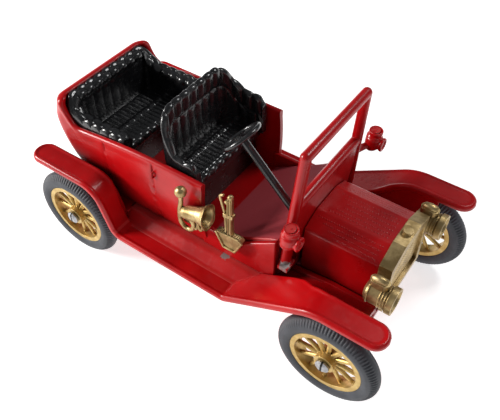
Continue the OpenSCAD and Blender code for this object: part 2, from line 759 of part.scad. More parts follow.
module bulb_horn() color(brass) {
    coil_r = 1.35;
    coil_x = horn_x - 1.4;
    coil_z = horn_z - 0.3;
    y = horn_y - horn_tube_r;
    bell_rise = 14;
    // Flared bell that opens forward and a little upward
    translate([horn_x + 0.2, y - 0.3, horn_z + 3]) rotate([0, 90 - bell_rise, 0]) rotate_extrude() polygon([
        [0, -2.6], [1.1, -2.6], [1.25, 0], [1.45, 1.6], [horn_mouth_r * 0.75, 2.7],
        [horn_mouth_r, 3.3], [horn_mouth_r - 0.25, 3.5], [1.5, 2.6], [0.9, 1.8], [0, 1.6]
    ]);
    // One flat turn of tube below the bell
    translate([coil_x, y, coil_z]) rotate([90, 0, 0]) difference() {
        cylinder(h = 2 * horn_tube_r, r = coil_r + horn_tube_r, center = true);
        cylinder(h = 4 * horn_tube_r, r = coil_r - horn_tube_r, center = true);
    }
    bar([coil_x - coil_r, y, coil_z + 0.3], [horn_x - 1.8, y - 0.5, horn_z + 7], horn_tube_r * 0.9, 0.45);
    bar([coil_x + coil_r, y - 0.05, coil_z + 0.4], [horn_x - 0.3, y - 0.3, horn_z + 2.7], horn_tube_r * 0.9, 0.7);
    translate([horn_x - 1.8, y - 0.5, horn_z + 7.4]) sphere(r = bulb_r);
    // Stub whose upper edge meets the tub's side
    stub_h = 1.2;
    stub_z = coil_z - 1.3;
    stub_y = y + horn_tube_r - weld;
    translate([coil_x - coil_r, stub_y, stub_z])
        cube([2 * coil_r, -tub_half(stub_z + stub_h - deck_z) - stub_y, stub_h]);
}

// ---------- Brake lever ----------

module brake_lever() color(brass) {
    x = tub_front_x + 5.8;
    y = -sill_out_y;
    rod_y = y - 0.8;
    foot = deck_z + sill_h - 0.9;
    top = deck_z + lever_h;
    collar_z = foot + 8.2;
    // Quadrant that stands on the sill's face
    side_slab([
        [x - 2.5, foot + 3.4], [x - 0.9, foot], [x + 1.7, foot], [x + 3.3, foot + 3.4],
        [x + 2.7, foot + 3.9], [x - 2, foot + 3.7]
    ], y - 1.3, y);
    // Lever with the collar that guides its trigger rod
    side_slab([[x, foot + 2], [x + 1.1, foot + 2], [x + 1.4, top], [x + 0.3, top]], y - lever_t - 0.4, y - 0.4);
    translate([x - 0.6, y - lever_t - 0.5, collar_z]) cube([2, lever_t + 0.2, 1.1]);
    // The trigger rod rises from the quadrant and bends away above the collar
    bar([x - 0.3, rod_y, foot + 2.6], [x - 0.3, rod_y, collar_z + 0.8], 0.3, 0.3);
    bar([x - 0.3, rod_y, collar_z + 0.6], [x - 1.3, rod_y, top - 0.7], 0.3, 0.3);
    bar([x - 1.35, rod_y, top - 0.85], [x - 0.5, rod_y, top], 0.3, 0.3);
}

// ---------- Axles, wheels and tyres ----------

// The wheel's faces, as distances from the middle of the car
hub_out = tyre_y + hub_w / 2;
hub_in = tyre_y - hub_w / 2;
head_t = 0.7;

module axle_at(x) color(steel) {
    cross_rod(x, 0, axle_z, axle_r, 2 * (hub_out + end_play + weld));
    // Collars that keep the wheels off the side rails
    both_sides() {
        cross_rod(x, (rail_y + rail_t / 2 + end_play + hub_in - end_play) / 2, axle_z, hub_r * 0.8,
            hub_in - rail_y - rail_t / 2 - 2 * end_play);
        translate([x, hub_out + end_play, axle_z]) rotate([-90, 0, 0])
            cylinder(h = head_t * 0.5, r = axle_head_r);
        translate([x, hub_out + end_play + head_t * 0.5, axle_z]) rotate([-90, 0, 0])
            cylinder(h = head_t * 0.5, r1 = axle_head_r, r2 = axle_head_r * 0.6);
    }
}

module front_axle() axle_at(front_x);
module rear_axle() axle_at(rear_x);

rim_out = tyre_y + rim_w / 2;

module wheel_at(x, side) color(gold) translate([x, side * tyre_y, axle_z]) rotate([90, 0, 0]) {
    seat_r = rim_r - rim_t;
    // Rim ring, hollowed to a shallow groove that holds the tyre
    rotate_extrude() polygon([
        [seat_r, -rim_w / 2], [rim_r, -rim_w / 2], [rim_r, -rim_w / 2 + 0.4], [rim_r - 0.3, -0.6],
        [rim_r - 0.3, 0.6], [rim_r, rim_w / 2 - 0.4], [rim_r, rim_w / 2], [seat_r, rim_w / 2]
    ]);
    for (k = [0 : spoke_count - 1]) rotate([0, 90, k * 360 / spoke_count])
        translate([0, 0, hub_r - 0.3]) cylinder(h = seat_r - hub_r + 0.6, r1 = 0.5, r2 = 0.38, $fn = 16);
    difference() {
        cylinder(h = hub_w, r = hub_r, center = true);
        cylinder(h = hub_w + 2, r = axle_r + run_clear, center = true);
    }
}

// Half width of the tyre where it sits on the rim
tyre_foot = rim_w / 2 - 0.05;
module tyre_at(x, side) color(rubber) translate([x, side * tyre_y, axle_z]) rotate([90, 0, 0]) {
    middle_r = tyre_r - tyre_section_r;
    rotate_extrude() difference() {
        union() {
            translate([middle_r, 0]) circle(r = tyre_section_r);
            translate([rim_r, -tyre_foot]) square([middle_r - rim_r, 2 * tyre_foot]);
        }
        square([2 * rim_r, 4 * tyre_section_r], center = true);
    }
}

module wheel_front_right() wheel_at(front_x, -1);
module wheel_front_left() wheel_at(front_x, 1);
module wheel_rear_right() wheel_at(rear_x, -1);
module wheel_rear_left() wheel_at(rear_x, 1);
module tyre_front_right() tyre_at(front_x, -1);
module tyre_front_left() tyre_at(front_x, 1);
module tyre_rear_right() tyre_at(rear_x, -1);
module tyre_rear_left() tyre_at(rear_x, 1);

chassis_casting();
body_casting();
windscreen_casting();
base_plate();
base_rivets();
radiator_shell();
bulb_horn();
brake_lever();
rear_seat();
front_seat();
steering_wheel();
front_axle();
rear_axle();
wheel_front_right();
wheel_front_left();
wheel_rear_right();
wheel_rear_left();
tyre_front_right();
tyre_front_left();
tyre_rear_right();
tyre_rear_left();
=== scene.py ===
import math

import bmesh
import bpy
import numpy as np
from mathutils import Matrix


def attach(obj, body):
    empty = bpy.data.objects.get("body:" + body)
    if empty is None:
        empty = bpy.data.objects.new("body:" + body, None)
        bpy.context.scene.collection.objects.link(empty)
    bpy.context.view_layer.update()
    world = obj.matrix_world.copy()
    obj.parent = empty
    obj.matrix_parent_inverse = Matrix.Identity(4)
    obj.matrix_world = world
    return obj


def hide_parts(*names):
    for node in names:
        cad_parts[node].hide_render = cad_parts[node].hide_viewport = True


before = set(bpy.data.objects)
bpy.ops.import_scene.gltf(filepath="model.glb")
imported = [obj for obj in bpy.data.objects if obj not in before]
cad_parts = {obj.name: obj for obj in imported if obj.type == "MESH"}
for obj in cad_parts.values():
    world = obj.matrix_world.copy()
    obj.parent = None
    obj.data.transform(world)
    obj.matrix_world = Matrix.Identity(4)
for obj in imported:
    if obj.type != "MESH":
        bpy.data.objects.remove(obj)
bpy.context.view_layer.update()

# ---------- Chassis casting ----------
# One zinc die casting carries the mudguards, the running boards with their skirts, the deck and
# the two rails that hold the axles. It is dipped in a glossy red enamel, which pales on sharp
# edges and chips to grey metal where fingers and table tops rub it.


def plug(socket, value):
    """Links a Wire to a socket, or sets the socket to a plain value."""
    if isinstance(value, Wire):
        value.tree.links.new(value.socket, socket)
    else:
        socket.default_value = value


class Wire:
    """An output in a material's node tree. Arithmetic on it adds Math nodes."""

    def __init__(self, tree, socket=None):
        self.tree, self.socket = tree, socket

    def node(self, kind, settings=None, feeds=None, out=0):
        """Adds a node, gives it its settings and inputs, and wraps the chosen output."""
        made = self.tree.nodes.new("ShaderNode" + kind)
        for key, value in (settings or {}).items():
            setattr(made, key, value)
        for key, value in (feeds or {}).items():
            plug(made.inputs[key], value)
        return Wire(self.tree, made.outputs[out])

    def math(self, operation, *values):
        return self.node("Math", {"operation": operation}, dict(enumerate(values)))

    def __add__(self, other):
        return self.math("ADD", self, other)

    def __sub__(self, other):
        return self.math("SUBTRACT", self, other)

    def __rsub__(self, other):
        return self.math("SUBTRACT", other, self)

    def __mul__(self, other):
        return self.math("MULTIPLY", self, other)

    def __truediv__(self, other):
        return self.math("DIVIDE", self, other)

    def __abs__(self):
        return self.math("ABSOLUTE", self)

    __radd__, __rmul__ = __add__, __mul__

    def step(self, low, high):
        """0 below low, 1 above high and a smooth change between them."""
        settings = {"interpolation_type": "SMOOTHSTEP"}
        return self.node("MapRange", settings, {0: self, 1: low, 2: high})

    def mix(self, first, second):
        """The first colour where this is 0 and the second where it is 1."""
        return self.node("Mix", {"data_type": "RGBA"}, {0: self, 6: first, 7: second}, out=2)

    def noise(self, scale, detail=3, roughness=0.55):
        """Cloudy noise at this place, of the given number of waves to a metre."""
        feeds = {"Vector": self, "Scale": scale, "Detail": detail, "Roughness": roughness}
        return self.node("TexNoise", None, feeds)

    def parts(self):
        """The x, y and z of this place."""
        return [self.node("SeparateXYZ", None, {0: self}, out=i) for i in range(3)]

    def openness(self, reach):
        """How open the surface lies: 0 deep in a corner and 1 where nothing is within reach."""
        return self.node("AmbientOcclusion", {"samples": 8}, {"Distance": reach}, out=1)

    def sharpness(self):
        """The mesh's pointiness: 0.5 where it is flat, more on edges and less in hollows."""
        return self.node("NewGeometry", out=7)

    def relief(self, strength, depth, normal):
        """A normal that shows this height, in metres of depth, over another normal."""
        feeds = {"Strength": strength, "Distance": depth, "Height": self, "Normal": normal}
        return self.node("Bump", None, feeds)


def new_finish(name, rounded=0.0002):
    """A material, the place on the object in metres, and the normal rounded over edges to the
    given radius."""
    finish = bpy.data.materials.new(name)
    finish.use_nodes = True
    start = Wire(finish.node_tree)
    place = start.node("TexCoord", out=3)
    return finish, place, start.node("Bevel", {"samples": 6}, {"Radius": rounded})


def feed(finish, **sockets):
    """Feeds the finish's Principled shader; an underscore stands for a space in a socket's name."""
    shader = finish.node_tree.nodes["Principled BSDF"]
    for key, value in sockets.items():
        plug(shader.inputs[key.replace("_", " ")], value)


def enamel(name, chips=(), dull_from=None):
    """Glossy red stoving enamel over zinc. Chips are (x, y, z, radius) in metres: a chip shows
    where the distance to its middle, roughened by noise, is under its radius. Forward of
    dull_from, between the sills, the enamel turns a duller, rougher purple."""
    deep_red, bright_red = (0.37, 0.0016, 0.003, 1), (0.49, 0.0026, 0.0045, 1)
    dust_pink, worn_pink = (0.6, 0.2, 0.2, 1), (0.68, 0.12, 0.11, 1)
    # The first colour of the next pair is the near black red of painted shade in the hollows.
    painted_shade_red, dull_purple = (0.06, 0.0012, 0.002, 1), (0.34, 0.06, 0.075, 1)
    bare_zinc = (0.36, 0.34, 0.33, 1)
    finish, place, soft = new_finish(name)
    cloud = place.noise(90, 4)
    dust = place.noise(900, 5, 0.7).step(0.5, 0.72)
    stretched = place.node("Mapping", None, {"Vector": place, "Scale": (300, 2600, 2600)})
    scratch = stretched.noise(1, 2).step(0.62, 0.7)
    tone = cloud.step(0.35, 0.65).mix(deep_red, bright_red)
    tone = (dust * 0.02).mix(tone, dust_pink)
    # Painted shade: the red darkens towards near black wherever other surfaces lie within 7 mm, as shade
    # in hollows and seams.
    hollow = 1 - place.openness(0.007).step(0.0, 0.72)
    tone = (0.75 * hollow).mix(tone, painted_shade_red)
    worn = (place.sharpness() + (cloud - 0.5) * 0.12).step(0.57, 0.68) * 0.3
    tone = worn.mix(tone, worn_pink)
    rough = 0.24 + 0.1 * cloud + 0.2 * dust * cloud + 0.08 * scratch
    ripple = place.noise(260, 2) + 0.25 * place.noise(1500, 2)
    if dull_from is not None:
        x, y, _ = place.parts()
        dull = (x - dull_from).step(0, 0.0006) * (1 - abs(y).step(0.0112, 0.0117))
        tone = (dull * (0.6 + 0.3 * cloud)).mix(tone, dull_purple)
        rough = rough + 0.3 * dull
    bare = None
    for *middle, size in chips:
        away = place.node("VectorMath", {"operation": "DISTANCE"}, {0: place, 1: middle}, out=1)
        here = 1 - (away / size + (place.noise(1400, 3) - 0.5) * 1.9).step(0.8, 0.95)
        bare = here if bare is None else bare.math("MAXIMUM", bare, here)
    if bare is not None:
        tone = bare.mix(tone, bare_zinc)
        rough = rough + bare * 0.25
        ripple = ripple - bare * 0.9
        feed(finish, Metallic=bare * 0.8)
    feed(finish, Base_Color=tone, Roughness=rough, Normal=ripple.relief(0.35, 0.00008, soft),
         Coat_Weight=0.1, Coat_Roughness=0.1, Specular_IOR_Level=0.3)
    return finish


def skin(rows, ring=False):
    """Joins a grid of points into faces. Each row is a closed loop; the rows follow each other,
    and either the last joins the first or each end is closed by one face."""
    n, m = rows.shape[:2]
    i, j = np.meshgrid(np.arange(n if ring else n - 1), np.arange(m), indexing="ij")
    up, on = (i + 1) % n, (j + 1) % m
    quads = np.stack([i * m + j, up * m + j, up * m + on, i * m + on], -1)
    ends = [] if ring else [list(range(m)), list(range((n - 1) * m, n * m))]
    return rows.reshape(-1, 3), quads.reshape(-1, 4).tolist() + ends


def make(name, skins, finish, body, replaces=(), smooth=35, bevel=0.0):
    """Makes one piece from skins in millimetres, points its faces outwards and sets its finish.
    Edges over smooth degrees stay sharp; bevel is the width of the rounded edges in metres."""
    points, faces = [], []
    for v, f in skins:
        at = sum(map(len, points))
        points.append(v)
        faces += [[k + at for k in face] for face in f]
    mesh = bpy.data.meshes.new(name)
    mesh.from_pydata((np.concatenate(points) * 0.001).tolist(), [], faces)
    work = bmesh.new()
    work.from_mesh(mesh)
    bmesh.ops.remove_doubles(work, verts=work.verts, dist=0.000002)
    bmesh.ops.dissolve_degenerate(work, edges=work.edges, dist=0.000001)
    bmesh.ops.recalc_face_normals(work, faces=work.faces)
    work.to_mesh(mesh)
    work.free()
    mesh.polygons.foreach_set("use_smooth", np.ones(len(mesh.polygons), bool))
    mesh.set_sharp_from_angle(angle=math.radians(smooth))
    mesh.materials.append(finish)
    piece = bpy.data.objects.new(name, mesh)
    bpy.context.scene.collection.objects.link(piece)
    if bevel:
        edge = piece.modifiers.new("edges", "BEVEL")
        edge.width, edge.segments = bevel, 2
        edge.limit_method, edge.angle_limit = "ANGLE", math.radians(35)
    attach(piece, body)
    if replaces:
        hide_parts(*replaces)


def mirrored(skins):
    """The same skins and their mirror images on the car's other side."""
    return skins + [(v * (1, -1, 1), f) for v, f in skins]


def ease(t):
    """Smooth step from 0 to 1."""
    t = np.clip(t, 0, 1)
    return t * t * (3 - 2 * t)


def slab(outline, low, high):
    """An outline in x and z carried across the car from y = low to y = high."""
    x, z = np.array(outline, float).T
    return skin(np.stack([np.column_stack([x, np.full(len(x), y), z]) for y in (low, high)]))


def carried(outline, back_x, front_x):
    """An outline in y and z carried along the car from back_x to front_x."""
    ends = [np.column_stack([np.full(len(outline), x), outline]) for x in (back_x, front_x)]
    return skin(np.stack(ends))


def rounded_path(corners, radii, pitch):
    """Straight runs between corners, with an arc of the given radius at each inner corner, then
    spread evenly to the given pitch. Returns the points and the length run at each."""
    corners = np.array(corners, float)
    path = [corners[:1]]
    for before, at, after, r in zip(corners[:-2], corners[1:-1], corners[2:], radii):
        u, v = (at - before) / np.linalg.norm(at - before), (after - at) / np.linalg.norm(after - at)
        turn = math.atan2(u[0] * v[1] - u[1] * v[0], u @ v)
        first = at - r * math.tan(abs(turn) / 2) * u
        centre = first + math.copysign(r, turn) * np.array([-u[1], u[0]])
        a = math.atan2(*(first - centre)[::-1]) + np.linspace(0, turn, 14)
        path.append(centre + r * np.column_stack([np.cos(a), np.sin(a)]))
    path = np.concatenate(path + [corners[-1:]])
    run = np.r_[0, np.cumsum(np.linalg.norm(np.diff(path, axis=0), axis=1))]
    at = np.linspace(0, run[-1], int(run[-1] / pitch))
    return np.column_stack([np.interp(at, run, path[:, k]) for k in (0, 1)]), at


guard_top, board_top, guard_thick, tip_r, tip_x = 22.95, 12.2, 1.05, 2.65, 39.5
guard_path, guard_run = rounded_path(
    [(-tip_x, guard_top), (-21.39, guard_top), (-18.1, board_top), (8.3, board_top),
     (26.55, guard_top), (tip_x, guard_top)], [5.2, 2, 1.5, 10], 0.2)
near_end = np.minimum(guard_run, guard_run[-1] - guard_run)
gx, gz = guard_path.T
outer_y = 20.3
inner_y = np.interp(gx, [-21.5, -19.5, 7.9, 12.6, 19.5, 21.5, 24, 27.3, 30.3],
                    [15.0, 15.7, 15.7, 12.65, 12.65, 12.9, 14.1, 14.85, 15.0])
inner_bead = ease((gx - 20) / 4) + ease((-20.5 - gx) / 2)


def guard_ribbon():
    """The mudguards and the board as one strip along a bent path. Across it the top falls away
    in a quarter round at each edge, with a low bead just inside; at the two tips the strip
    narrows as a half circle, so that the edge and its bead run round them."""
    edge_r, bead_high, bead_in, bead_wide = 0.42, 0.2, 0.55, 0.3
    past = np.clip(near_end, 0.004, tip_r)
    narrow = np.where(near_end < tip_r, np.sqrt(tip_r**2 - (tip_r - past) ** 2), tip_r) / tip_r
    f = np.sin(np.linspace(-0.5, 0.5, 42) * np.pi)[None, :]
    half = ((outer_y - inner_y) / 2 * narrow)[:, None]
    y = ((outer_y + inner_y) / 2)[:, None] + half * f
    to_tip = tip_r - np.hypot(tip_r - past[:, None], half * f)
    d = np.where(near_end[:, None] < tip_r, np.clip(to_tip, 0, None), half * (1 - np.abs(f)))
    drop = edge_r - np.sqrt(edge_r**2 - (edge_r - np.clip(d, 0, edge_r)) ** 2)
    bead = bead_high * np.exp(-(((d - bead_in) / bead_wide) ** 2))
    bead = bead * np.where(f < 0, inner_bead[:, None], 1.0)
    along = np.gradient(guard_path, axis=0)
    along /= np.linalg.norm(along, axis=1)[:, None]
    top, low = (np.stack([gx[:, None] - along[:, 1:] * h, y, gz[:, None] + along[:, :1] * h], -1)
                for h in (bead - drop, -guard_thick + drop * 0.6))
    return skin(np.concatenate([top, low[:, ::-1]], axis=1))


def valance():
    """The hollow wall between a front mudguard and the bonnet's foot: across the car it is a
    quarter round that leaves the foot level and meets the guard's inner edge upright."""
    foot_y, sunk = 8.4, 0.25
    x = np.linspace(11.6, 33.4, 90)
    ridge_z, ridge_y = np.interp(x, gx, gz) - sunk, np.interp(x, gx, inner_y) + sunk
    foot_z = np.minimum(np.interp(x, [11, 19, 24, 33.4], [14, 14.6, 16, 16]), ridge_z - 0.1)
    a = np.linspace(0, np.pi / 2, 22)[None, :]
    y = foot_y + (ridge_y[:, None] - foot_y) * np.sin(a) ** 0.92
    z = foot_z[:, None] + (ridge_z - foot_z)[:, None] * (1 - np.cos(a))
    upper = np.stack([np.broadcast_to(x[:, None], y.shape), y, z], -1)
    lower = upper + np.stack([0 * a, 0.55 * np.sin(a), -0.9 * np.cos(a) - 0.15], -1)
    return skin(np.concatenate([upper, lower[:, ::-1]], axis=1))


# the sloping skirt between board and deck, with a round shoulder at its top
skirt = carried([(16.6, 11.3), (16.6, 12.25), (16.0, 12.3), (15.6, 12.55), (14.35, 13.62),
                 (14.0, 13.86), (13.6, 14.0), (12.3, 14.0), (12.3, 12.8), (13.2, 12.8)], -19.5, 12.5)
axle_x, axle_z, bore_r = 30.2, 10, 0.86
rail_back, rail_front, rail_top, rail_foot, rail_inner, rail_outer = -35.2, 33, 12.9, 7.4, 7.25, 8.75


def rail():
    """A side rail in two halves that meet at the axles' height, each with a half round notch for
    each axle: points at the bore's radius from the axle, in half a turn."""
    split = axle_z - 0.01
    turn = np.linspace(np.pi, 0, 17)
    notch = bore_r * np.column_stack([np.cos(turn), np.sin(turn)])
    below = notch[::-1] * (1, -1)
    upper = np.concatenate([[(rail_back, rail_top), (rail_back, axle_z)], notch + (-axle_x, axle_z),
                            notch + (axle_x, axle_z), [(rail_front, axle_z), (rail_front, rail_top)]])
    lower = np.concatenate([[(rail_back, split), (-32.6, rail_foot), (32.6, rail_foot),
                             (rail_front, split)], below + (axle_x, split), below + (-axle_x, split)])
    return [slab(upper, rail_inner, rail_outer), slab(lower, rail_inner, rail_outer)]


deck_low, deck_top = 12.8, 14.0
deck = [slab([(back, deck_low), (back, deck_top), (front, deck_top), (front, deck_low)], -half, half)
        for back, front, half in ((-37.5, -19, 15), (-19, 21.2, 12.3), (21.2, 33.5, 8.9))]
web = [slab([(12, deck_low), (12, 14.6), (24, 16.1), (33.4, 16.1), (33.4, deck_low)], 7.85, 8.9)]
under_guard = guard_path[(gx > -37.4) & (gx < -19.1)] - (0.35, 0.6)
rear_wall = [slab([(-37.75, rail_top), *under_guard, (-19.2, rail_top)], 14.95, 15.8)]

car_red = enamel("red enamel", [(0.0042, -0.0128, 0.0138, 0.0011), (0.0146, -0.0121, 0.0194, 0.001),
                                (0.0168, -0.0122, 0.0192, 0.0011)])
make("mudguards_and_boards", mirrored([guard_ribbon(), valance(), skirt]), car_red, "car",
     replaces=["chassis_casting"], smooth=50)
make("deck_and_rails", deck + mirrored(web + rear_wall + rail()), car_red, "car",
     bevel=0.0002)

# ---------- Body casting ----------
# Tub, floor, sills, scuttle and bonnet are one more zinc casting in the same enamel. Its posts
# pass through the deck and are riveted to the base plate. The tub's sides swell like a tulip
# and end in a rounded lip; the door lines and the rows of bonnet studs are cast in.

tail_x, tub_front, tub_side, tail_corner = -38.5, -0.4, 13.45, 3.0
lip_high, lip_proud, door_deep = 0.55, 0.22, 0.34
door_x = [-24.1, -12.0]


def tub_half(h):
    """Half width of the tub at height h over the deck: a quarter sine up to the waist, and a
    parabola that draws it in above."""
    swell = 1.15 * np.sin(np.radians(np.clip(10 * h, 0, 90)))
    return tub_side - 1.1 + swell - 0.75 * ((np.clip(h, 9, 16) - 9) / 8) ** 2


def tail_in(h):
    """How far the tail stands forward of its fullest place at height h over the deck."""
    above = 2.3 * ((np.clip(h, 15, 20) - 15) / 5) ** 2
    return np.where(h < 15, 7.8 * (1 - np.clip(h, 0, 15) / 15) ** 1.35, above)


def rim_height(x):
    """Height of the rim over the deck: a gentle rise to the front, a cosine up to the tail."""
    d, lowest, tail_run, flat = x - tail_x, 14.6, 8.0, 1.2
    sides = lowest + 1.6 * np.sin(np.pi / 2 * np.clip((d - tail_run) / 22, 0, 1))
    fall = np.clip((d - flat) / (tail_run - flat), 0, 1)
    return np.where(d > tail_run, sides, lowest + 5 * (0.5 + 0.5 * np.cos(np.pi * fall)))


def u_plan(side, turn, back, front_x):
    """A U in plan, given as three sets of stations from 0 to 1: along the right side, round a
    corner and across the back, with the left side mirrored in order. Returns a function that
    gives x and y at the stations for a half width, a back and a corner's radius; each of these
    is one number or a grid whose columns run up the wall."""
    n = len(side) + len(turn) + len(back)
    order = np.concatenate([np.arange(n), np.arange(n - 2, -1, -1)])
    t = np.concatenate([side, np.ones(n - len(side))])[order][:, None]
    a = np.concatenate([np.zeros(len(side)), turn, np.ones(len(back))])[order][:, None] * np.pi / 2
    b = np.concatenate([np.zeros(n - len(back)), back])[order][:, None]
    hand = np.where(np.arange(len(order)) > len(order) // 2, -1, 1)[:, None]

    def plan(wide, back_x, r):
        x = front_x + (back_x + r - front_x) * t - r * np.sin(a) * (t >= 1)
        return x, (-wide + r * (1 - np.cos(a))) * (1 - b) * hand

    return plan


def tub():
    """A wall carried round the U: at each station its section runs up the outside, over a lip a
    little proud of the wall, and down the inside. Door lines are fine grooves in the outside."""
    groove = np.linspace(-0.4, 0.4, 13)
    at = np.concatenate([np.linspace(tub_front, tail_x + 3.2, 60)] + [d + groove for d in door_x])
    side = np.unique((tub_front - at) / (tub_front - tail_x - tail_corner))
    plan = u_plan(side, np.linspace(0, 1, 18)[1:], np.linspace(0, 1, 12)[1:], tub_front)
    x_waist, _ = plan(tub_half(17.0), tail_x + tail_in(17.0), tail_corner)
    outside = np.linspace(0, 1, 26)
    inside, outside = outside[::-2], outside[:-1]
    arch = np.linspace(0, np.pi, 12)
    plain_out, plain_in = np.zeros(len(outside)), np.zeros(len(inside))
    q = np.concatenate([outside, np.ones(12), inside])
    lip = np.concatenate([plain_out, np.sin(arch), plain_in])
    proud = [lip_proud * ease((outside - 0.93) / 0.06), np.linspace(lip_proud, 0, 12), plain_in]
    inward = np.concatenate([plain_out, 0.5 - 0.5 * np.cos(arch), plain_in + 1])
    rim = rim_height(x_waist) - lip_high
    h = q * rim + lip_high * lip
    thick = 1.0 + 0.45 * ease((-34 - x_waist) / 3)
    inset = inward * thick - np.concatenate(proud)
    x, y = plan(tub_half(h) - inset, tail_x + tail_in(h) + inset, tail_corner - inset)
    line = sum(np.exp(-(((x - d) / 0.15) ** 2)) for d in door_x) * (inset < 0.3) * (h < rim - 0.3)
    return skin(np.stack([x, y - np.sign(y) * door_deep * line, deck_top + h], -1))


bonnet_top, bonnet_edge, shoulder_y, shoulder_z = 27, 3.3, 7.3, 25.3


def bonnet():
    """Its section has a flat top, sloping shoulders and upright sides with softened corners, and
    is hollow below; it is carried forward from the dashboard to the radiator."""
    foot_y, thick = 7.5, 0.9
    corners = [(-foot_y, deck_top), (-shoulder_y, shoulder_z), (-bonnet_edge, bonnet_top),
               (bonnet_edge, bonnet_top), (shoulder_y, shoulder_z), (foot_y, deck_top)]
    line, _ = rounded_path(corners, [0.9, 1.2, 1.2, 0.9], 0.12)
    return carried(np.concatenate([line, line[::-1] * (0.9, 1) - (0, thick)]), 17.5, 31.9)


def studs(places, r, h):
    """Low domes on the bonnet: each has a ring of six points at its foot, a second ring half way
    up and a top, and lies along the surface's normal at its place."""
    a = np.arange(6) * np.pi / 3
    ring = np.column_stack([np.cos(a), np.sin(a), 0 * a])
    dome = np.stack([ring * r - (0, 0, 0.05), ring * (0.72 * r) + (0, 0, 0.7 * h),
                     ring * (0.05 * r) + (0, 0, h)])
    parts = []
    for start_point, end_point, tilt, count in places:
        c, s = math.cos(tilt), math.sin(tilt)
        leaning = dome @ np.array([[1, 0, 0], [0, c, s], [0, -s, c]])
        parts += [skin(leaning + p) for p in np.linspace(start_point, end_point, count)]
    return parts


fall_y, fall_z = shoulder_y - bonnet_edge, bonnet_top - shoulder_z
stud_rows = []
for sign in (-1, 1):
    for out in (0.5, 1.5, 2.4):
        stud_rows.append(((22 - out, sign * out, bonnet_top), (30.6, sign * out, bonnet_top), 0, 20))
    for out in (0.25, 0.45, 0.65, 0.85):
        y, z = sign * (bonnet_edge + fall_y * out), bonnet_top - fall_z * out
        tilt = -sign * math.atan2(fall_z, fall_y)
        stud_rows.append(((18.6 + 7 * (out - 0.25), y, z), (30.8, y, z), tilt, 26))

board_end, board_end_z, floor_top = 14.95, 24.8, 15.2
sill = [slab([(-1.4, 14), (-1.4, 19), (6.6, 19), (board_end, board_end_z), (board_end, 14)], 11.7, 12.7)]
floor = [slab([(-31.3, 14), (-31.3, floor_top), (-1.0, floor_top), (13.15, 23.9),
               (board_end, board_end_z), (board_end, 14)], -11.75, 11.75),
         slab([(14.9, 14), (14.9, 15), (17.55, 15), (17.55, 14)], -7.3, 7.3)]


def post(x, r, low, high):
    """A round post: one circle at its foot and one at its head."""
    a = np.linspace(0, 2 * np.pi, 33)[:-1]
    ring = np.column_stack([x + r * np.cos(a), r * np.sin(a), 0 * a])
    return skin(np.stack([ring + (0, 0, low), ring + (0, 0, high)]))


def across(way):
    """The unit vector along each way, and two more at right angles to it and to each other."""
    way = way / np.linalg.norm(way, axis=-1, keepdims=True)
    u = np.cross(way, np.eye(3)[np.abs(way).sum(0).argmin()])
    u /= np.linalg.norm(u, axis=-1, keepdims=True)
    return way, u, np.cross(way, u)


def tube(path, radius, ring=False, sides=14):
    """A round bar: at each point of the path a circle lies across the path's way there."""
    path = np.array(path, float)
    steps = np.roll(path, -1, 0) - np.roll(path, 1, 0) if ring else np.gradient(path, axis=0)
    _, u, v = across(steps)
    a = np.linspace(0, 2 * np.pi, sides + 1)[:-1][None, :, None]
    r = np.broadcast_to(radius, len(path))[:, None, None]
    return skin(path[:, None] + r * (np.cos(a) * u[:, None] + np.sin(a) * v[:, None]), ring)


make("tub", [tub()], car_red, "car", replaces=["body_casting"], smooth=50)
make("bonnet", [bonnet()] + studs(stud_rows, 0.13, 0.07), car_red, "car", smooth=45)
make("floor_and_sills", floor + mirrored(sill) + [post(x, 1.7, 7.4, 14.5) for x in (-17, 17)],
     enamel("worn floor enamel", dull_from=-0.0009), "car", bevel=0.00025)
handle = [(-11.6, y, z) for y, z in
          ((-13.1, 26.5), (-13.75, 26.6), (-13.85, 27.1), (-13.75, 27.6), (-13.1, 27.7))]
make("door_handles", mirrored([tube(handle, 0.22)]), car_red, "car", smooth=60)

# ---------- Windscreen casting ----------
# The open frame, the dashboard, two feet and two side lamps are one thin casting, enamelled
# with the rest and pressed into the body. The lamps' bodies and faces are turned shapes.


def dress(node, finish):
    """Gives a CAD node its finish."""
    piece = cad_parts[node]
    piece.data.materials.clear()
    piece.data.materials.append(finish)


def turned(profile, centre, axis, rounds=0.15, wave=0.0):
    """A solid of revolution. Each pair of the profile is a distance along the axis and a radius;
    its corners are rounded. A wave makes radii over 1.6 swing in and out five times a turn."""
    thinnest, wave_from, sides = 0.004, 1.6, 48
    line, _ = rounded_path(profile, [rounds] * (len(profile) - 2), 0.12)
    way, u, v = (k[0] for k in across(np.array([axis], float)))
    a = np.linspace(0, 2 * np.pi, sides + 1)[:-1][None, :, None]
    r = np.maximum(line[:, 1, None, None], thinnest)
    r = r * (1 + wave * ease(r - wave_from) * np.cos(5 * a))
    return skin(np.array(centre) + line[:, :1, None] * way + r * (np.cos(a) * u + np.sin(a) * v))


dress("windscreen_casting", car_red)
lamp_body = [(0, 0), (0, 0.6), (0.5, 0.8), (1, 1.45), (1.8, 1.65), (3, 1.6), (3.5, 1.25), (3.8, 1.2),
             (4.2, 1.35), (4.7, 1.3), (4.75, 1.05), (4.4, 0.8), (4.35, 0.35), (4.7, 0.25), (4.75, 0)]
lamp_face = [(0.6, 0), (0.6, 1.0), (1.4, 1.15), (1.8, 1.35), (2.1, 1.3), (2.15, 0.95), (1.85, 0.7),
             (1.95, 0)]
make("side_lamp_bodies", mirrored([turned(lamp_body, (18.65, -14.5, 28.4), (0.07, 0, 1)),
                                   turned(lamp_face, (18.75, -14.5, 30.3), (1, 0, 0))]),
     car_red, "car", smooth=50)
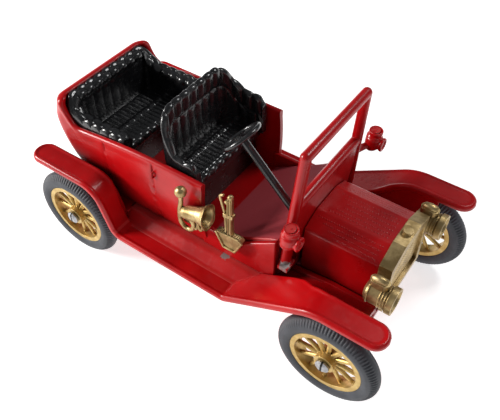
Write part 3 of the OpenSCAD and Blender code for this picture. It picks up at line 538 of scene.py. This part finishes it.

# ---------- Base plate, rivets and axles ----------
# A flat enamelled plate closes the chassis from below; the heads of two steel rivets hold it.
# The axles are drawn steel wire, and each domed end has a slot sawn across it, painted near black as its
# shade.

dress("base_plate", car_red)
steel, place, soft = new_finish("drawn steel", 0.0001)
grain = place.noise(1200, 3)
x, y, _ = place.parts()
from_slot = abs(abs(x) - axle_x * 0.001)
# Painted shade: a near black band across each axle's domed end stands in for the shade in its sawn slot,
# which the mesh does not cut.
slot_shade = (1 - from_slot.step(0.00014, 0.00022)) * abs(y).step(0.0203, 0.0204)
tone = grain.step(0.3, 0.7).mix((0.3, 0.3, 0.31, 1), (0.5, 0.5, 0.52, 1))
feed(steel, Base_Color=slot_shade.mix(tone, (0.03, 0.03, 0.03, 1)), Metallic=1.0,
     Roughness=0.32 + 0.2 * grain + 0.2 * slot_shade, Normal=soft)
for node in ("base_rivets", "front_axle", "rear_axle"):
    dress(node, steel)

# ---------- Radiator, headlamps, horn and brake lever ----------
# These are small castings plated a bright brass colour, painted dark brown in the corners as shade. Each
# is glued or pressed into place: radiator and lamps in front of the bonnet, horn and lever on
# the near side.

brass, place, soft = new_finish("brass plating", 0.00016)
stain = place.noise(420, 4, 0.6)
fine = place.noise(2600, 2)
tone = stain.step(0.35, 0.68).mix((0.34, 0.235, 0.1, 1), (0.6, 0.45, 0.22, 1))
# Painted shade: the brass turns dark brown wherever other surfaces lie within 0.9 mm.
tone = place.openness(0.0009).step(0.05, 0.65).mix((0.09, 0.055, 0.02, 1), tone)
feed(brass, Base_Color=tone, Metallic=0.92, Roughness=0.27 + 0.22 * stain + 0.1 * fine,
     Normal=(stain + 0.3 * fine).relief(0.4, 0.0001, soft))
dress("radiator_shell", brass)

lamp_y, lamp_z, rib_r = -9.75, 21.9, 2.17
vent = [(32.1, 25.25), (32.5, 25.35), (33.4, 25.4), (34.3, 25.35), (34.7, 25.25)]
angle = np.linspace(0, 2 * np.pi, 49)[:-1]
hoop = (0, lamp_y, lamp_z) + rib_r * np.column_stack([0 * angle, np.cos(angle), np.sin(angle)])
ribs = [tube([(x, lamp_y, z) for x, z in vent], [0.5, 0.72, 0.8, 0.72, 0.5])]
ribs += [tube(hoop + (x, 0, 0), 0.13, ring=True) for x in (32.2, 34.3, 34.8, 35.3)]
make("headlamp_ribs", mirrored(ribs), brass, "car", smooth=60)


def honeycomb():
    """The radiator's core: across its face a wave in y times a wave in z raises rows of cells,
    up to a top that follows the shell's shoulders."""
    half, low, high, cell = 6, 15.3, 25.45, 0.6
    back_x, face_x, raised = 33.2, 33.45, 0.22
    y, t = np.linspace(-half, half, 121)[:, None], np.linspace(0, 1, 131)[None, :]
    top = high - 1.5 * np.clip((np.abs(y) - 3.3) / 2.7, 0, 1)
    z = low + (top - low) * t
    x = face_x + raised * np.abs(np.sin(np.pi * y / cell) * np.sin(np.pi * z / cell)) ** 0.6
    front = np.stack([x, y + 0 * z, z], -1)
    behind = np.stack([0 * x + back_x, y + 0 * z, z], -1)
    return skin(np.concatenate([front, behind[:, ::-1]], axis=1))


make("radiator_core", [honeycomb()], brass, "car", smooth=40)


def arc_path(centre, wide, high, low_angle, high_angle, count):
    """Points on an ellipse in the plane of x and z, with angles in degrees from straight ahead."""
    a = np.radians(np.linspace(low_angle, high_angle, count))
    return np.array(centre) + np.column_stack([wide * np.cos(a), 0 * a, high * np.sin(a)])


bulb = [(-1.15, 0), (-1.05, 0.5), (-0.6, 0.98), (0, 1.15), (0.6, 0.98), (1.05, 0.5), (1.15, 0)]
bell = [(0.1, 0), (0, 1.0), (0.8, 1.3), (2.2, 1.38), (3.4, 1.5), (4.6, 1.9), (5.4, 2.4), (5.65, 2.35),
        (5.1, 1.75), (4.2, 1.3), (2.6, 0.9), (2.5, 0)]
neck = [(-3.4, -15.25, 28.3), (-3.65, -15.2, 26.2), (-4.1, -15.1, 24), (-4.45, -14.95, 21.8)]
horn = [turned(bulb, (-3.36, -15.25, 29.0), (0, 0, 1), rounds=0.3),
        turned(bell, (-3.4, -15.3, 24.0), (1, 0.16, 0.16), rounds=0.3, wave=0.06),
        tube(neck, [0.42, 0.45, 0.55, 0.55]),
        tube(arc_path((-2.9, -15.0, 21.1), 1.55, 1.85, 0, 352.5, 48), 0.46, ring=True),
        tube(arc_path((-0.9, -14.9, 22.6), 0.55, 2.2, 180, 360, 16), 0.33),
        tube(arc_path((0.2, -14.9, 22.6), 0.55, 1.9, 180, 360, 16), 0.33),
        slab([(-4.2, 20), (-4.2, 21.2), (-1.7, 21.2), (-1.7, 20)], -14.4, -13.4)]
make("horn_plating", horn, brass, "car", replaces=["bulb_horn"], smooth=50)

lever_y, edge_y = -13.5, -13.95
quadrant = [(2.9, 21.5), (4.5, 18.1), (7.1, 18.1), (8.7, 21.5), (8.1, 22), (3.4, 21.8)]
border = np.array([(x, edge_y, z) for x, z in quadrant])
guide = [(5.05, 20.7), (5.05, 26.6), (4.95, 27.4), (4.15, 30.7), (4.15, 31.1), (4.4, 31.4), (4.95, 31.7)]
knob = [(-0.55, 0), (-0.4, 0.4), (0, 0.55), (0.4, 0.4), (0.55, 0)]
pivot = [(-0.45, 0), (-0.35, 0.4), (0.35, 0.4), (0.45, 0)]
lever = [slab(quadrant, -13.8, -12.7),
         slab([(5.4, 20), (6.5, 20), (6.75, 31.6), (5.8, 31.6)], -13.85, -13.15),
         turned(knob, (6.3, lever_y, 31.7), (0, 1, 0)),
         turned(pivot, (5.5, lever_y, 30.2), (0, 1, 0)),
         slab([(4.8, 26.4), (4.8, 27.3), (6.85, 27.6), (6.85, 26.7)], -14.0, -13.0),
         tube([(5.65, -13.9, 22.2), (5.75, edge_y, 26), (5.95, edge_y, 31.2)], 0.16, sides=8),
         tube([(6.33, -13.9, 22.2), (6.42, edge_y, 26), (6.5, edge_y, 31.2)], 0.16, sides=8),
         tube([(x, -13.6, z) for x, z in guide], 0.24)]
lever += [tube(border[k:k + 2], 0.24) for k in range(len(border) - 1)]
lever += [tube([(x, -14.05, 21.9), (x + 0.1, -12.9, 21.95)], 0.14, sides=8)
          for x in np.linspace(3.7, 7.9, 11)]
make("lever_and_quadrant", lever, brass, "car", replaces=["brake_lever"],
     bevel=0.00008)

# ---------- Seats ----------
# Each seat is one black plastic moulding that imitates buttoned leather: rows of plump tufts
# along the top, upright pleats below them and a buttoned cushion. It is glossy on the high
# spots and is pushed down into the tub.

black, place, soft = new_finish("black moulded plastic", 0.00012)
grime = place.noise(500, 4, 0.65)
tone = grime.step(0.45, 0.75).mix((0.008, 0.008, 0.009, 1), (0.022, 0.022, 0.023, 1))
feed(black, Base_Color=tone, Roughness=0.14 + 0.22 * grime, Coat_Weight=0.4, Coat_Roughness=0.06,
     Normal=place.noise(1500, 4, 0.6).relief(0.3, 0.00012, soft))


def tufts(s, t, pitch, row, plump=0.6):
    """Buttoned padding: s runs along a row and t across the rows. Each tuft is the root of one
    half wave along the row times a power of one across it, so that it is plump with a crease all
    round; a low power makes a long flute. Every other row is shifted by half a tuft."""
    shift = 0.5 * (np.floor(t / row) % 2)
    along = np.abs(np.cos(np.pi * (s / pitch + shift))) ** 0.6
    return along * np.abs(np.sin(np.pi * t / row)) ** plump


def surround(wide, back_x, front_x, corner, foot, top_of, thick, pitch, row, rows, puff, fold,
             plump=0.6, ahead=0.7):
    """A padded wall round a U. Its section runs up the back, over a round top, and down the
    padded face. From a distance ahead of the middle of the top inwards it carries rows of tufts,
    pushed out along the section's normal, and below them upright folds as high as fold."""
    side, turn, back = (np.linspace(0, 1, k) for k in (84, 40, 70))
    plan_of = u_plan(side, turn[1:], back[1:], front_x)

    def plan(inset):
        return plan_of(wide - inset, back_x + inset, np.maximum(corner - inset, 0.3))

    up, over, down = 7, 30, 75
    psi = np.linspace(0, np.pi, over)
    q = np.concatenate([np.arange(up) / up, np.ones(over), np.linspace(1, 0, down + 1)[1:]])[None, :]
    facing_in = np.concatenate([np.zeros(up), -np.cos(psi), np.ones(down)])[None, :]
    lift = np.concatenate([np.zeros(up), np.sin(psi), np.zeros(down)])[None, :]
    share = np.concatenate([np.zeros(up), 0.5 - 0.5 * np.cos(psi), np.ones(down)])[None, :]
    mid_x, mid_y = plan(thick * 0.9)
    run = np.r_[0, np.cumsum(np.hypot(np.diff(mid_x[:, 0]), np.diff(mid_y[:, 0])))][:, None]
    run = run - run[len(run) // 2]
    top = top_of(*plan(0.0)) - thick / 2
    h = foot + q * (top - foot) + lift * thick / 2
    hidden = np.full(up, -9.0)
    past_top = np.concatenate([hidden, (psi - np.pi / 2) * thick / 2, np.full(down, np.pi / 4 * thick)])
    down_face = past_top[None, :] + (top - h) * (share >= 1) + ahead
    pad = tufts(run, down_face, pitch, row, plump) * (down_face > 0) * (down_face < row * rows)
    below = down_face - row * rows
    folds = np.abs(np.cos(np.pi * (run / pitch + 0.5 * (rows % 2)))) ** 0.7
    folds = folds * ease(below / 0.8) * np.exp(-np.clip(below - 2.5, 0, 9) / 5)
    swell = puff * pad + fold * folds
    h = h + swell * lift
    x, y = plan(share * thick + swell * np.clip(facing_in, 0, 1))
    return skin(np.stack([x, y, h + 0 * x], -1))


def cushion(back, front_x, half, top, pitch, puff, undercut=1.0):
    """A block of padding across the seat: its section runs up the points of the back, along the
    top, over a round front edge with a plump tuft at each step, and down the plain front. The
    top behind the edge has one more row of buttons and otherwise fine pleats of a quarter of
    that height."""
    edge_row, button_row, button_from = 1.9, 1.3, 5.0
    y = np.linspace(-half, half, 210)[:, None]
    low, back_x = back[0][1], back[-1][0]
    rise = np.linalg.norm(np.diff(back + [(back_x, top)], axis=0), axis=1).sum()
    corners = back + [(back_x, top), (front_x, top), (front_x, top - 3),
                      (front_x - undercut, top - 3.2), (front_x - undercut, low)]
    line, run = rounded_path(corners, [0.3] * len(back) + [1.1, 0.4, 0.2], 0.11)
    along = np.gradient(line, axis=0)
    along /= np.linalg.norm(along, axis=1)[:, None]
    s = (run - rise - (front_x - back_x))[None, :] + 0.9
    edge = tufts(y, s, pitch, edge_row) * (s > 0) * (s < edge_row)
    inner = tufts(y + pitch / 2, s + button_from, pitch, button_row)
    inner = inner * (s > -button_from) * (s < button_row - button_from)
    pleats = 0.3 * np.abs(np.cos(np.pi * y / pitch * 2)) ** 0.6 * (s < 0) * ease(run[None, :] - rise)
    swell = puff * (edge + 0.7 * inner + pleats) * ease((half - np.abs(y)) / 0.5)
    x = line[None, :, 0] - along[None, :, 1] * swell
    z = line[None, :, 1] + along[None, :, 0] * swell
    return skin(np.stack([x, y + 0 * x, z], -1))


def rear_top(x, y):
    """Top of the rear seat: a cosine from the tail down to the arms."""
    d = np.clip((x + 37.0) / 7.0, 0, 1)
    return 29.9 + 3.5 * (0.5 + 0.5 * np.cos(np.pi * d)) - 0.5 * ease((x + 22) / 3)


def front_top(x, y):
    """Top of the front seat: level across the back, round at its corners, then a fall to the
    arms; the near arm lies lower than the far one."""
    out = np.clip(np.abs(y) - 5.2, 0, 5.6) / 5.7
    back = 38.6 - 4.4 * (1 - np.sqrt(np.clip(1 - out**2, 0, 1)))
    arm = np.where(y < 0, 31.0, 32.9)
    fall = ease((x + 11.6) / 4.6)
    return back * (1 - fall) + arm * fall - 1.6 * ease((x + 4.4) / 1.6)


rear_pads = surround(wide=12.2, back_x=-35.9, front_x=-19.95, corner=3.2, foot=23.2, top_of=rear_top,
                     thick=2.5, pitch=2.3, row=2.0, rows=2, puff=0.6, fold=0.12, ahead=1.75)
front_pads = surround(wide=11.3, back_x=-12.7, front_x=-3.1, corner=4.4, foot=24.6, top_of=front_top,
                      thick=1.1, pitch=2.25, row=4.6, rows=1, puff=0.5, fold=0.3, plump=0.3)
rear_block = cushion([(-29.6, 15.2), (-32.6, 20.0), (-33.6, 22.0)], front_x=-23.3, half=11.3,
                     top=23.8, pitch=2.2, puff=0.4)
front_block = cushion([(-11.6, 15.2)], front_x=-4.4, half=11.2, top=25.8, pitch=2.2, puff=0.4,
                      undercut=1.3)
make("rear_seat_moulding", [rear_pads, rear_block], black, "car",
     replaces=["rear_seat"], smooth=60)
make("front_seat_moulding", [front_pads, front_block], black, "car",
     replaces=["front_seat"], smooth=60)

# ---------- Steering wheel ----------
# Wheel, spokes and column are one moulding in the seats' black plastic. The column's foot is
# glued into the toe board.

dress("steering_wheel", black)

# ---------- Wheels and tyres ----------
# Each wheel is moulded in gold-coloured plastic, with tapered spokes, and turns on its steel
# axle. The tyre is a soft dark ring with fine cross ribs on its shoulders, pulled over the rim.

gold, place, soft = new_finish("gold plastic", 0.00015)
mottle = place.noise(650, 3)
tone = mottle.step(0.35, 0.7).mix((0.5, 0.33, 0.1, 1), (0.68, 0.49, 0.19, 1))
# Painted shade: the gold turns dark brown where the mesh is concave, at the spokes' roots and in the
# rim's corners.
tone = place.sharpness().step(0.4, 0.54).mix((0.22, 0.13, 0.04, 1), tone)
feed(gold, Base_Color=tone, Metallic=0.75, Roughness=0.3 + 0.2 * mottle,
     Normal=(mottle + 0.3 * place.noise(3000, 2)).relief(0.3, 0.00008, soft))

rubber, place, soft = new_finish("tyre rubber", 0.0001)
bloom = place.noise(350, 4, 0.6)
tone = bloom.step(0.35, 0.75).mix((0.03, 0.033, 0.042, 1), (0.06, 0.064, 0.076, 1))
feed(rubber, Base_Color=tone, Roughness=0.48 + 0.2 * bloom,
     Normal=(bloom + 0.3 * place.noise(4000, 2)).relief(0.35, 0.00008, soft))


def ribbed_tyre(cx, cy, cz):
    """A ring of round section whose foot is cut flat where it meets the rim. Round the ring, a
    wave raises and lowers the shoulders to make the cross ribs; two fine lines mark the wall."""
    ring_r, section_r, seat_r, ribs = 8.25, 1.75, 7.05, 96
    around = np.linspace(0, 2 * np.pi, 721)[:-1][:, None]
    phi = np.linspace(0, 2 * np.pi, 49)[:-1][None, :]
    off = np.degrees(np.minimum(phi, 2 * np.pi - phi))
    shoulder = ease((off - 18) / 8) * ease((66 - off) / 8)
    rib = 0.5 + 0.5 * np.tanh(3 * np.cos(ribs * around))
    line = np.exp(-(((off - 74) / 2.5) ** 2)) + np.exp(-(((off - 108) / 2.5) ** 2))
    r = section_r - 0.13 * shoulder * (1 - rib) - 0.05 * line
    rho = np.maximum(ring_r + r * np.cos(phi), seat_r)
    x, y, z = rho * np.cos(around), r * np.sin(phi) + 0 * around, rho * np.sin(around)
    return skin(np.stack([cx + x, cy + y, cz + z], -1), ring=True)


wheel_y = 18.5
for end, x in (("front", axle_x), ("rear", -axle_x)):
    for hand, y in (("right", -wheel_y), ("left", wheel_y)):
        dress(f"wheel_{end}_{hand}", gold)
        make(f"ribbed_tyre_{end}_{hand}", [ribbed_tyre(x, y, axle_z)], rubber,
             f"{end}_{hand}_wheel_body", replaces=[f"tyre_{end}_{hand}"], smooth=60)

# ---------- Studio ----------
# A pale table top under soft lights in a bright room. The camera looks down on the car's near
# side from ahead.

floor_mesh = bpy.data.meshes.new("table_top")
floor_mesh.from_pydata([(-3, -3, 0), (3, -3, 0), (3, 3, 0), (-3, 3, 0)], [], [(0, 1, 2, 3)])
table_top = bpy.data.objects.new("table_top", floor_mesh)
bpy.context.scene.collection.objects.link(table_top)
paper, place, _ = new_finish("pale paper")
feed(paper, Base_Color=place.noise(8, 2).mix((0.88, 0.88, 0.88, 1), (0.91, 0.91, 0.91, 1)),
     Roughness=0.9, Emission_Color=(1, 1, 1, 1), Emission_Strength=0.68)
floor_mesh.materials.append(paper)

world = bpy.data.worlds.new("studio air")
world.use_nodes = True
air = world.node_tree.nodes["Background"]
air.inputs["Color"].default_value = (0.93, 0.96, 1, 1)
air.inputs["Strength"].default_value = 0.16
bpy.context.scene.world = world


def facing(place, back, roll=0.0):
    """The matrix of a light or camera at a place in metres, with its back to the unit vector
    back, and turned about it by roll radians from upright."""
    right = np.cross((0, 0, 1), back)
    right /= np.linalg.norm(right)
    up = np.cross(back, right)
    c, s = math.cos(roll), math.sin(roll)
    right, up = c * right + s * up, -s * right + c * up
    return Matrix([[right[k], up[k], back[k], place[k]] for k in range(3)] + [[0, 0, 0, 1]])


def soft_light(name, place, size, power, colour=(1, 1, 1)):
    """A square area light at a place in metres, aimed at the car's middle."""
    light = bpy.data.lights.new(name, "AREA")
    light.size, light.energy, light.color = size, power, colour
    lamp = bpy.data.objects.new(name, light)
    away = np.array(place) - (0, 0, 0.015)
    lamp.matrix_world = facing(place, away / np.linalg.norm(away))
    bpy.context.scene.collection.objects.link(lamp)


soft_light("key", (-0.36, -0.235, 0.19), 0.13, 2.5, (1, 0.98, 0.95))
soft_light("top", (0.07, 0.11, 0.2), 0.06, 0.17)
soft_light("fill", (0.35, -0.1, 0.15), 0.2, 0.05)

film_wide, focal_ratio = 36, 1.2534
lens = bpy.data.cameras.new("camera")
lens.sensor_width, lens.lens = film_wide, focal_ratio * film_wide
lens.clip_start, lens.clip_end = 0.01, 20
camera = bpy.data.objects.new("camera", lens)
azimuth, height, roll = (math.radians(v) for v in (-54.7, 47.6, -0.44))
level = math.cos(height)
back = np.array([level * math.cos(azimuth), level * math.sin(azimuth), math.sin(height)])
eye = (np.array([0.49, 0.34, 12.63]) + 129.1 * back) * 0.001
camera.matrix_world = facing(eye, back, roll)
bpy.context.scene.collection.objects.link(camera)
bpy.context.scene.camera = camera
bpy.context.scene.view_settings.view_transform = "Standard"
